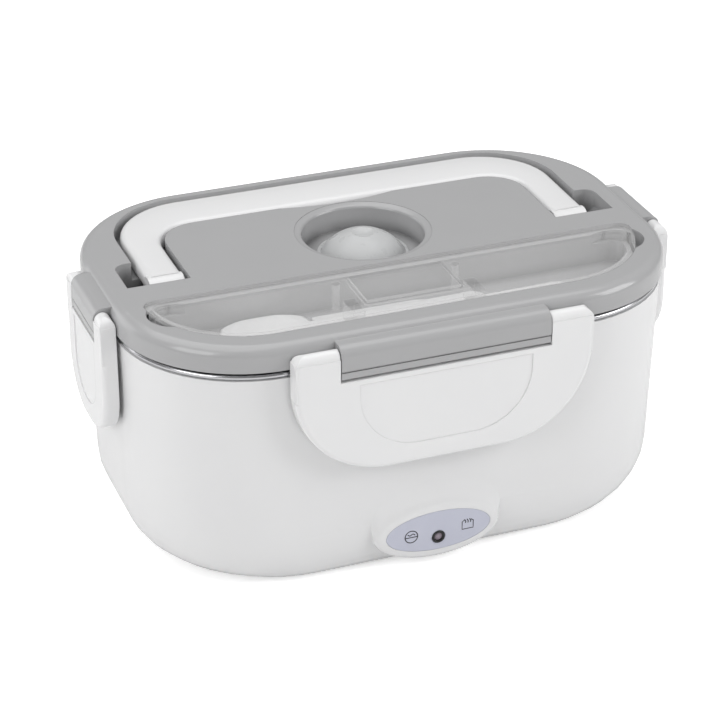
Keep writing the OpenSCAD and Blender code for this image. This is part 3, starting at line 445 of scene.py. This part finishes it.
@dataclass(frozen=True)
class DrawnMetal(Finish):
    """Sheet or bar metal with the fine lines that rolling and brushing leave.

    Real lines are a few hundredths of a millimetre wide. They are drawn wider, so that they show.
    """

    shade: str
    grain: Grain = Grain.ALONG_X
    roughness: float = 0.26
    roughness_spread: float = 0.12
    line_mm: float = 0.25
    line_depth_mm: float = 0.006
    line_strength: float = 0.5

    def surface(
        self, tree: bpy.types.NodeTree, place: bpy.types.NodeSocket
    ) -> bpy.types.NodeSocket:
        """Draws the metal's surface.

        Args:
            tree: The material's node tree.
            place: Where each point of the piece lies.

        Returns:
            The shader.
        """
        stretched = add(
            tree, "ShaderNodeMapping", {"Vector": place, "Scale": self.grain.value}
        )
        lines = add(
            tree,
            "ShaderNodeTexNoise",
            {
                "Vector": stretched.outputs["Vector"],
                "Scale": 1 / (self.line_mm * MM),
                "Detail": 3.0,
            },
        )
        tone = add(
            tree,
            "ShaderNodeMix",
            {
                "Factor": lines.outputs["Fac"],
                MIX_A: linear(self.colour),
                MIX_B: linear(self.shade),
            },
            data_type="RGBA",
        )
        rough = add(
            tree,
            "ShaderNodeMapRange",
            {
                "Value": lines.outputs["Fac"],
                "To Min": self.roughness - self.roughness_spread / 2,
                "To Max": self.roughness + self.roughness_spread / 2,
            },
        )
        bump = add(
            tree,
            "ShaderNodeBump",
            {
                "Height": lines.outputs["Fac"],
                "Strength": self.line_strength,
                "Distance": self.line_depth_mm * MM,
            },
        )
        shader = add(
            tree,
            "ShaderNodeBsdfPrincipled",
            {
                "Base Color": tone.outputs[MIX_COLOUR],
                "Metallic": 1.0,
                "Roughness": rough.outputs["Result"],
                "Normal": bump.outputs["Normal"],
            },
        )
        return shader.outputs["BSDF"]


@dataclass(frozen=True)
class MineralFelt(Finish):
    """Pressed mineral fibre: dull, and mottled by fibres that lie every way.

    The fibres are drawn as tufts of several, because a single one is too fine to show.
    """

    fibre: str
    roughness: float = 0.9
    tuft_mm: float = 0.6
    tuft_depth_mm: float = 0.2
    tuft_strength: float = 0.8
    tuft_swirl: float = 1.5

    def surface(
        self, tree: bpy.types.NodeTree, place: bpy.types.NodeSocket
    ) -> bpy.types.NodeSocket:
        """Draws the felt's surface.

        Args:
            tree: The material's node tree.
            place: Where each point of the piece lies.

        Returns:
            The shader.
        """
        tufts = add(
            tree,
            "ShaderNodeTexNoise",
            {
                "Vector": place,
                "Scale": 1 / (self.tuft_mm * MM),
                "Detail": 6.0,
                "Distortion": self.tuft_swirl,
            },
        )
        tone = add(
            tree,
            "ShaderNodeMix",
            {
                "Factor": tufts.outputs["Fac"],
                MIX_A: linear(self.colour),
                MIX_B: linear(self.fibre),
            },
            data_type="RGBA",
        )
        bump = add(
            tree,
            "ShaderNodeBump",
            {
                "Height": tufts.outputs["Fac"],
                "Strength": self.tuft_strength,
                "Distance": self.tuft_depth_mm * MM,
            },
        )
        shader = add(
            tree,
            "ShaderNodeBsdfPrincipled",
            {
                "Base Color": tone.outputs[MIX_COLOUR],
                "Roughness": self.roughness,
                "Normal": bump.outputs["Normal"],
            },
        )
        return shader.outputs["BSDF"]


# White ABS from a polished mould: clean, bright and softly glossy.
WHITE_ABS = MouldedPlastic("white_abs_moulded", "#E9E9E9", "#E6E6E7", roughness=0.2)
# The same ABS on the latches, painted a shade brighter as painted light: a lit copy of the white
# ABS.
LATCH_ABS = replace(WHITE_ABS, name="white_abs_latches", colour="#EDEDED", cloud="#EAEAEB")
# The same ABS on the shell, whose edges are all modelled round.
SHELL_ABS = replace(WHITE_ABS, name="white_abs_shell", edge_mm=0.0)
# White polypropylene inside the base: satin, and a little milky.
WHITE_PP = MouldedPlastic("white_polypropylene_moulded", "#DEDEDC", "#D8D8D7", roughness=0.45)
# Grey ABS of the lid: glossier than the shell, over a mid grey, with painted shade that darkens
# its gaps.
GREY_ABS = MouldedPlastic(
    "grey_abs_moulded", "#AFAFB0", "#ACACAD", roughness=0.16, recess_shade=0.9
)
# White polypropylene of the cutlery: waxy, with well rounded edges.
CUTLERY_PP = MouldedPlastic(
    "white_polypropylene_cutlery", "#E6E6E6", "#E0E0E1", roughness=0.3, edge_mm=0.7
)
# Clear styrene of the cutlery cover: hard, glossy and faintly grey.
CLEAR_STYRENE = ClearPlastic("clear_styrene_moulded", "#FAFAFA")
# Translucent silicone of the vent plug: rubbery, milky and softly shining.
MILKY_SILICONE = MouldedPlastic(
    "milky_silicone_moulded",
    "#C9CACA",
    "#C0C1C2",
    roughness=0.28,
    ior=1.41,
    translucency=0.3,
    ripple_mm=8.0,
)
# Silicone of the seal, coloured near black as painted shade: it shows only as the dark line
# between lid and pot.
SEAL_SILICONE = MouldedPlastic(
    "seal_silicone_moulded", "#151516", "#1B1B1C", roughness=0.5, ior=1.41
)
# Black thermoplastic rubber of the feet: dull, with the mould's spark texture.
FOOT_RUBBER = MouldedPlastic(
    "black_rubber_moulded",
    "#1C1C1D",
    "#232324",
    roughness=0.7,
    texture_mm=0.4,
    texture_depth_mm=0.03,
)
# Black polyamide of the inlet and the lamp's sleeve: satin, with a spark texture.
BLACK_NYLON = MouldedPlastic(
    "black_nylon_moulded",
    "#141415",
    "#1B1B1C",
    roughness=0.4,
    texture_mm=0.5,
    texture_depth_mm=0.02,
)
# Smoky acrylic of the lamp's lens, unlit: it shows a dull mauve from the chip behind it.
SMOKY_ACRYLIC = MouldedPlastic(
    "smoky_acrylic_moulded",
    "#9A8F99",
    "#877C86",
    roughness=0.12,
    ior=1.49,
    cloud_mm=1.5,
    ripple_mm=2.0,
)
# Printed polyester film of the label: an even blue-grey ink with a satin varnish.
PRINTED_FILM = MouldedPlastic(
    "blue_grey_printed_film",
    "#C9CBD8",
    "#C3C5D4",
    roughness=0.38,
    cloud_mm=12.0,
    texture_mm=0.3,
    texture_depth_mm=0.004,
)
# Black screen printing ink on the label: thin and slightly rough.
SCREEN_INK = MouldedPlastic(
    "black_screen_ink", "#25262B", "#303138", roughness=0.5, cloud_mm=1.0
)
# Green solder lacquer over glass fibre: glossy, with the cloth's faint weave.
BOARD_LACQUER = MouldedPlastic(
    "green_lacquered_board",
    "#1F6B36",
    "#195C2E",
    roughness=0.3,
    texture_mm=0.5,
    texture_depth_mm=0.02,
)
# Silicone sleeves of the wires, extruded: soft gloss in red, blue and grey.
RED_SLEEVE = MouldedPlastic(
    "red_silicone_sleeve", "#A02A20", "#92241B", roughness=0.45, ripple_mm=2.0
)
BLUE_SLEEVE = replace(
    RED_SLEEVE, name="blue_silicone_sleeve", colour="#20489A", cloud="#1B3E88"
)
GREY_SLEEVE = replace(
    RED_SLEEVE, name="grey_silicone_sleeve", colour="#5B5B5E", cloud="#505053"
)
# Deep drawn stainless steel of the pot, brushed: bright, with fine level lines.
POT_STEEL = DrawnMetal("stainless_steel_drawn", "#D6D6D8", "#BFBFC2", roughness=0.2)
# Cast and rolled aluminium of the plate and the heater: paler and rougher.
PLATE_ALUMINIUM = DrawnMetal(
    "aluminium_rolled", "#DADBDD", "#C2C3C6", Grain.ALONG_Y, roughness=0.38
)
# Zinc plated steel of screws, strap and fuse: slightly dull, with upright lines.
ZINC_STEEL = DrawnMetal(
    "zinc_plated_steel", "#B9BABD", "#9EA0A4", Grain.ALONG_Z, roughness=0.34
)
# Nickelled brass of the pins: warm and bright, drawn along their length.
PIN_BRASS = DrawnMetal(
    "nickelled_brass_drawn", "#D9CFB2", "#C6B98F", Grain.ALONG_Y, roughness=0.2
)
# Mineral felt pad: pale, dull and fibrous.
HEATER_FELT = MineralFelt("mineral_felt_pressed", "#D3CBB4", "#BDB498")


@dataclass
class SubAssembly:
    """A group of the object's pieces that are dressed together.

    The pieces named in faceted are lofts of small flat facets, which are shaded as the round
    forms that they are: points within weld of one another are joined, and only edges that bend
    by more than sharp_from degrees stay sharp.
    """

    label: str
    finishes: dict[str, Finish]
    faceted: tuple[str, ...] = ()
    weld: float = 0.005 * MM
    sharp_from: float = 30.0

    def dress(self) -> None:
        """Gives each carried-over node of this group its finish, and rounds its shading."""
        for node, finish in self.finishes.items():
            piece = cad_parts[node]
            piece.data.materials.clear()
            piece.data.materials.append(finish.build())
            if node in self.faceted:
                self._shade_round(piece)
            log.info("%s: %s in %s", self.label, node, finish.name)

    def _shade_round(self, piece: bpy.types.Object) -> None:
        """Shades a faceted node as a round form, by a modifier: its mesh stays as it is.

        Args:
            piece: The node's object.
        """
        tree = bpy.data.node_groups.new("shade_round", "GeometryNodeTree")
        for way in ("INPUT", "OUTPUT"):
            tree.interface.new_socket("Geometry", in_out=way, socket_type="NodeSocketGeometry")
        start = add(tree, "NodeGroupInput")
        welded = add(
            tree,
            "GeometryNodeMergeByDistance",
            {"Geometry": start.outputs["Geometry"], "Distance": self.weld},
        )
        bare = add(
            tree,
            "GeometryNodeRemoveAttribute",
            {"Geometry": welded.outputs["Geometry"], "Name": "custom_normal"},
        )
        soft = add(
            tree,
            "GeometryNodeSetShadeSmooth",
            {"Geometry": bare.outputs["Geometry"], "Shade Smooth": True},
            domain="FACE",
        )
        bend = add(tree, "GeometryNodeInputMeshEdgeAngle")
        gentle = add(
            tree,
            "FunctionNodeCompare",
            {"A": bend.outputs["Unsigned Angle"], "B": math.radians(self.sharp_from)},
            data_type="FLOAT",
            operation="LESS_THAN",
        )
        edged = add(
            tree,
            "GeometryNodeSetShadeSmooth",
            {"Geometry": soft.outputs["Geometry"], "Shade Smooth": gentle.outputs["Result"]},
            domain="EDGE",
        )
        add(tree, "NodeGroupOutput", {"Geometry": edged.outputs["Geometry"]})
        piece.modifiers.new("shade_round", "NODES").node_group = tree


@dataclass
class HeatedBase(SubAssembly):
    """The shell that stands on the table, with its liner, inlet, label and lamp."""

    label: str = "base"
    finishes: dict[str, Finish] = field(
        default_factory=lambda: {
            "outer_shell": SHELL_ABS,
            "inner_liner": WHITE_PP,
            "case_screws": ZINC_STEEL,
            "rubber_feet": FOOT_RUBBER,
            "mains_inlet": BLACK_NYLON,
            "inlet_pins": PIN_BRASS,
            "front_label": PRINTED_FILM,
            "indicator_board": BOARD_LACQUER,
            "indicator_lamp": SMOKY_ACRYLIC,
            "lamp_sleeve": BLACK_NYLON,
        }
    )
    faceted: tuple[str, ...] = ("outer_shell",)


@dataclass
class Heater(SubAssembly):
    """The heating plate under the pot, with its clamp, its two guards and the wires."""

    label: str = "heater"
    finishes: dict[str, Finish] = field(
        default_factory=lambda: {
            "heating_plate": PLATE_ALUMINIUM,
            "ptc_heater": PLATE_ALUMINIUM,
            "insulation_pad": HEATER_FELT,
            "heater_clamp": ZINC_STEEL,
            "clamp_screws": ZINC_STEEL,
            "thermal_cutout": BLACK_NYLON,
            "thermal_fuse": ZINC_STEEL,
            "live_wire": RED_SLEEVE,
            "neutral_wire": BLUE_SLEEVE,
            "lamp_wires": GREY_SLEEVE,
        }
    )


@dataclass
class FoodVessels(SubAssembly):
    """The steel pot that hangs in the base, and the side-dish tray in it."""

    label: str = "inside"
    finishes: dict[str, Finish] = field(
        default_factory=lambda: {"steel_pot": POT_STEEL, "food_tray": WHITE_PP}
    )


@dataclass
class LiftOffLid(SubAssembly):
    """The lid with its seal, vent plug, handle and latches, and the cutlery in its top."""

    label: str = "lid"
    finishes: dict[str, Finish] = field(
        default_factory=lambda: {
            "lid_shell": GREY_ABS,
            "lid_gasket": SEAL_SILICONE,
            "vent_plug": MILKY_SILICONE,
            "carry_handle": WHITE_ABS,
            "front_latch": LATCH_ABS,
            "rear_latch": LATCH_ABS,
            "left_latch": LATCH_ABS,
            "right_latch": LATCH_ABS,
            "cutlery_cover": CLEAR_STYRENE,
            "spoon": CUTLERY_PP,
            "fork": CUTLERY_PP,
        }
    )
    faceted: tuple[str, ...] = ("carry_handle",)


@dataclass
class LabelMarks:
    """The two small line drawings that are printed on the label beside the lamp.

    Points are pairs of x and z. The bowl's other sizes are shares of bowl_radius, and the box's
    are shares of box_half. A wave's turn is its angle in radians over one such length.
    """

    face_y: float = -74.5 * MM
    lift: float = 0.03 * MM
    stroke: float = 0.42 * MM
    bowl_at: tuple[float, float] = (-11.7 * MM, 14.8 * MM)
    bowl_radius: float = 2.7 * MM
    bowl_rim: float = -0.1
    ring_step_deg: int = 12
    heap_height: float = 0.34
    heap_half: float = 0.6
    heap_swell: float = 0.12
    heap_turn: float = 7.0
    heap_steps: int = 12
    box_at: tuple[float, float] = (12.6 * MM, 15.9 * MM)
    box_half: float = 2.4 * MM
    flap_end: tuple[float, float] = (0.55, 0.75)
    flap_fold: float = 0.45
    steam_at: tuple[float, ...] = (-0.45, 0.0, 0.45)
    steam_from: float = 0.15
    steam_rise: float = 0.75
    steam_sway: float = 0.1
    steam_turn: float = 5.0
    steam_steps: int = 8

    def build(self) -> bpy.types.Object:
        """Builds the marks as thin raised ink.

        Returns:
            The mesh object, riding on the base.
        """
        mesh = bmesh.new()
        self._bowl(mesh)
        self._steaming_box(mesh)
        data = bpy.data.meshes.new("label_marks")
        mesh.to_mesh(data)
        mesh.free()
        data.materials.append(SCREEN_INK.build())
        piece = bpy.data.objects.new("label_marks", data)
        bpy.context.scene.collection.objects.link(piece)
        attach(piece, "base")
        log.info("label: label_marks in %s", SCREEN_INK.name)
        return piece

    def _line(
        self,
        mesh: bmesh.types.BMesh,
        points: Sequence[tuple[float, float]],
        closed: bool = False,
    ) -> None:
        """Draws one stroke as a raised ribbon on the label's face.

        Args:
            mesh: The mesh that is added to.
            points: The stroke's middle line.
            closed: Whether the last point joins the first.
        """
        count = len(points)
        rows = []
        for i, (x, z) in enumerate(points):
            before = points[(i - 1) % count] if closed or i else points[i]
            after = points[(i + 1) % count] if closed or i < count - 1 else points[i]
            along = Vector((after[0] - before[0], after[1] - before[1])).normalized()
            side = Vector((-along.y, along.x)) * self.stroke / 2
            row = []
            for sign, y in ((1, 0.0), (1, -self.lift), (-1, -self.lift), (-1, 0.0)):
                row.append(
                    mesh.verts.new((x + sign * side.x, self.face_y + y, z + sign * side.y))
                )
            rows.append(row)
        pairs = list(zip(rows, rows[1:])) + ([(rows[-1], rows[0])] if closed else [])
        for a, b in pairs:
            for j in range(len(a) - 1):
                mesh.faces.new((a[j], a[j + 1], b[j + 1], b[j]))
        mesh.normal_update()

    def _bowl(self, mesh: bmesh.types.BMesh) -> None:
        """Draws a round bowl with a heap of food.

        Args:
            mesh: The mesh that is added to.
        """
        x, z = self.bowl_at
        r = self.bowl_radius
        turns = [math.radians(a) for a in range(0, 360, self.ring_step_deg)]
        ring = [(x + r * math.cos(a), z + r * math.sin(a)) for a in turns]
        self._line(mesh, ring, closed=True)
        rim_z = z + r * self.bowl_rim
        self._line(mesh, [(x - r, rim_z), (x + r, rim_z)])
        heap = []
        for i in range(self.heap_steps + 1):
            t = self.heap_half * (2 * i / self.heap_steps - 1)
            swell = self.heap_swell * math.sin(self.heap_turn * t)
            heap.append((x + r * t, z + r * (self.heap_height + swell)))
        self._line(mesh, heap)

    def _steaming_box(self, mesh: bmesh.types.BMesh) -> None:
        """Draws an open box with three curls of steam.

        Args:
            mesh: The mesh that is added to.
        """
        x, z = self.box_at
        h = self.box_half
        right = [
            (self.flap_end[0] * h, self.flap_end[1] * h),
            (h, self.flap_fold * h),
            (h, -h),
        ]
        outline = [(x - dx, z + dz) for dx, dz in right]
        outline += [(x + dx, z + dz) for dx, dz in reversed(right)]
        self._line(mesh, outline)
        for middle in self.steam_at:
            curl = []
            for i in range(self.steam_steps + 1):
                t = i / self.steam_steps
                sway = self.steam_sway * math.sin(self.steam_turn * t)
                curl.append(
                    (x + h * (middle + sway), z + h * (self.steam_from + self.steam_rise * t))
                )
            self._line(mesh, curl)


@dataclass(frozen=True)
class SoftLamp:
    """A large square soft lamp. Its size is its edge length."""

    name: str
    place: tuple[float, float, float]
    size: float
    watts: float

    def hang(self, target: Vector) -> None:
        """Hangs the lamp so that it faces a point.

        Args:
            target: The point.
        """
        light = bpy.data.lights.new(self.name, "AREA")
        light.size = self.size
        light.energy = self.watts
        hung = bpy.data.objects.new(self.name, light)
        hung.location = self.place
        back = Vector(self.place) - target
        hung.rotation_euler = back.to_track_quat("Z", "Y").to_euler()
        bpy.context.scene.collection.objects.link(hung)


@dataclass
class Studio:
    """A pale floor, soft lamps and the camera at the photograph's angle.

    Angles are in degrees, and sizes in px are in the photograph's frame. The floor's own glow
    is for the camera alone: glow_near and glow_far are pairs of distance and strength.
    """

    azimuth: float = -20.93
    elevation: float = 28.05
    distance: float = 1.05231
    focal_px: float = 2530.66
    centre_px: tuple[float, float] = (372.03, 349.88)
    frame_px: float = 720.0
    sensor_mm: float = 36.0
    clip: tuple[float, float] = (0.01, 20.0)
    target: tuple[float, float, float] = (0.0, 0.0, 60 * MM)
    floor_half: float = 3.0
    floor_cells: int = 8
    floor_drop: float = 0.2 * MM
    floor_colour: str = "#F4F4F4"
    floor_cloud: str = "#F6F6F6"
    paper_mm: float = 25.0
    glow_near: tuple[float, float] = (0.4, 0.5)
    glow_far: tuple[float, float] = (2.0, 1.0)
    sky: float = 0.27
    lamps: tuple[SoftLamp, ...] = (
        SoftLamp("left", (-1.15, -0.6, 0.75), 0.8, 6.5),
        SoftLamp("right", (1.1, -0.75, 0.7), 0.8, 9.0),
        SoftLamp("top", (-0.15, 0.25, 1.5), 1.8, 15.0),
        SoftLamp("back", (-1.0, 0.95, 0.4), 0.8, 2.5),
    )

    def build(self) -> None:
        """Builds the floor, the lamps, the world and the camera."""
        self._floor()
        for lamp in self.lamps:
            lamp.hang(Vector(self.target))
        self._world()
        self._camera()
        bpy.context.scene.view_settings.view_transform = "Standard"
        log.info("studio: floor, lamps and camera")

    def _floor(self) -> None:
        """Lays a wide pale floor that keeps the object's soft shadow."""
        mesh = bmesh.new()
        bmesh.ops.create_grid(
            mesh, x_segments=self.floor_cells, y_segments=self.floor_cells, size=self.floor_half
        )
        data = bpy.data.meshes.new("studio_floor")
        mesh.to_mesh(data)
        mesh.free()
        data.materials.append(self._paper())
        floor = bpy.data.objects.new("studio_floor", data)
        floor.location.z = -self.floor_drop
        bpy.context.scene.collection.objects.link(floor)

    def _paper(self) -> bpy.types.Material:
        """Builds the floor's paper, which fades into the white surroundings for the camera.

        Returns:
            The node material.
        """
        material, tree = blank("studio_paper")
        ray = add(tree, "ShaderNodeLightPath")
        place = add(tree, "ShaderNodeTexCoord").outputs["Object"]
        paper = add(
            tree,
            "ShaderNodeTexNoise",
            {"Vector": place, "Scale": 1 / (self.paper_mm * MM), "Detail": 2.0},
        )
        tone = add(
            tree,
            "ShaderNodeMix",
            {
                "Factor": paper.outputs["Fac"],
                MIX_A: linear(self.floor_colour),
                MIX_B: linear(self.floor_cloud),
            },
            data_type="RGBA",
        )
        diffuse = add(tree, "ShaderNodeBsdfDiffuse", {"Color": tone.outputs[MIX_COLOUR]})
        reach = add(tree, "ShaderNodeVectorMath", {0: place}, operation="LENGTH")
        far = add(
            tree,
            "ShaderNodeMapRange",
            {
                "Value": reach.outputs["Value"],
                "From Min": self.glow_near[0],
                "From Max": self.glow_far[0],
                "To Min": self.glow_near[1],
                "To Max": self.glow_far[1],
            },
        )
        glow = add(
            tree, "ShaderNodeEmission", {"Color": WHITE, "Strength": far.outputs["Result"]}
        )
        lit = add(
            tree, "ShaderNodeAddShader", {0: diffuse.outputs[0], 1: glow.outputs[0]}
        )
        seen = add(
            tree,
            "ShaderNodeMixShader",
            {0: ray.outputs["Is Camera Ray"], 1: diffuse.outputs[0], 2: lit.outputs[0]},
        )
        add(tree, "ShaderNodeOutputMaterial", {"Surface": seen.outputs[0]})
        return material

    def _world(self) -> None:
        """Fills the surroundings with an even pale light that the camera sees as white."""
        world = bpy.data.worlds.new("studio")
        world.use_nodes = True
        tree = world.node_tree
        tree.nodes.clear()
        ray = add(tree, "ShaderNodeLightPath")
        light = add(tree, "ShaderNodeBackground", {"Color": WHITE, "Strength": self.sky})
        white = add(tree, "ShaderNodeBackground", {"Color": WHITE, "Strength": 1.0})
        seen = add(
            tree,
            "ShaderNodeMixShader",
            {0: ray.outputs["Is Camera Ray"], 1: light.outputs[0], 2: white.outputs[0]},
        )
        add(tree, "ShaderNodeOutputWorld", {"Surface": seen.outputs[0]})
        bpy.context.scene.world = world

    def _camera(self) -> None:
        """Sets the camera at the photograph's angle, distance and framing."""
        turn, rise = math.radians(self.azimuth), math.radians(self.elevation)
        level = math.cos(rise)
        back = Vector((math.sin(turn) * level, -math.cos(turn) * level, math.sin(rise)))
        lens = bpy.data.cameras.new("camera")
        lens.sensor_width = self.sensor_mm
        lens.lens = self.focal_px / self.frame_px * self.sensor_mm
        lens.shift_x = (self.frame_px / 2 - self.centre_px[0]) / self.frame_px
        lens.shift_y = (self.centre_px[1] - self.frame_px / 2) / self.frame_px
        lens.clip_start, lens.clip_end = self.clip
        camera = bpy.data.objects.new("camera", lens)
        camera.location = Vector(self.target) + back * self.distance
        camera.rotation_euler = back.to_track_quat("Z", "Y").to_euler()
        bpy.context.scene.collection.objects.link(camera)
        bpy.context.scene.camera = camera


def main() -> None:
    """Dresses the sub-assemblies in order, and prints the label."""
    logging.basicConfig(level=logging.INFO, format="%(message)s")
    for group in (HeatedBase(), Heater(), FoodVessels(), LiftOffLid()):
        group.dress()
    LabelMarks().build()
    Studio().build()
    bpy.context.view_layer.update()


if __name__ == "__main__":
    main()
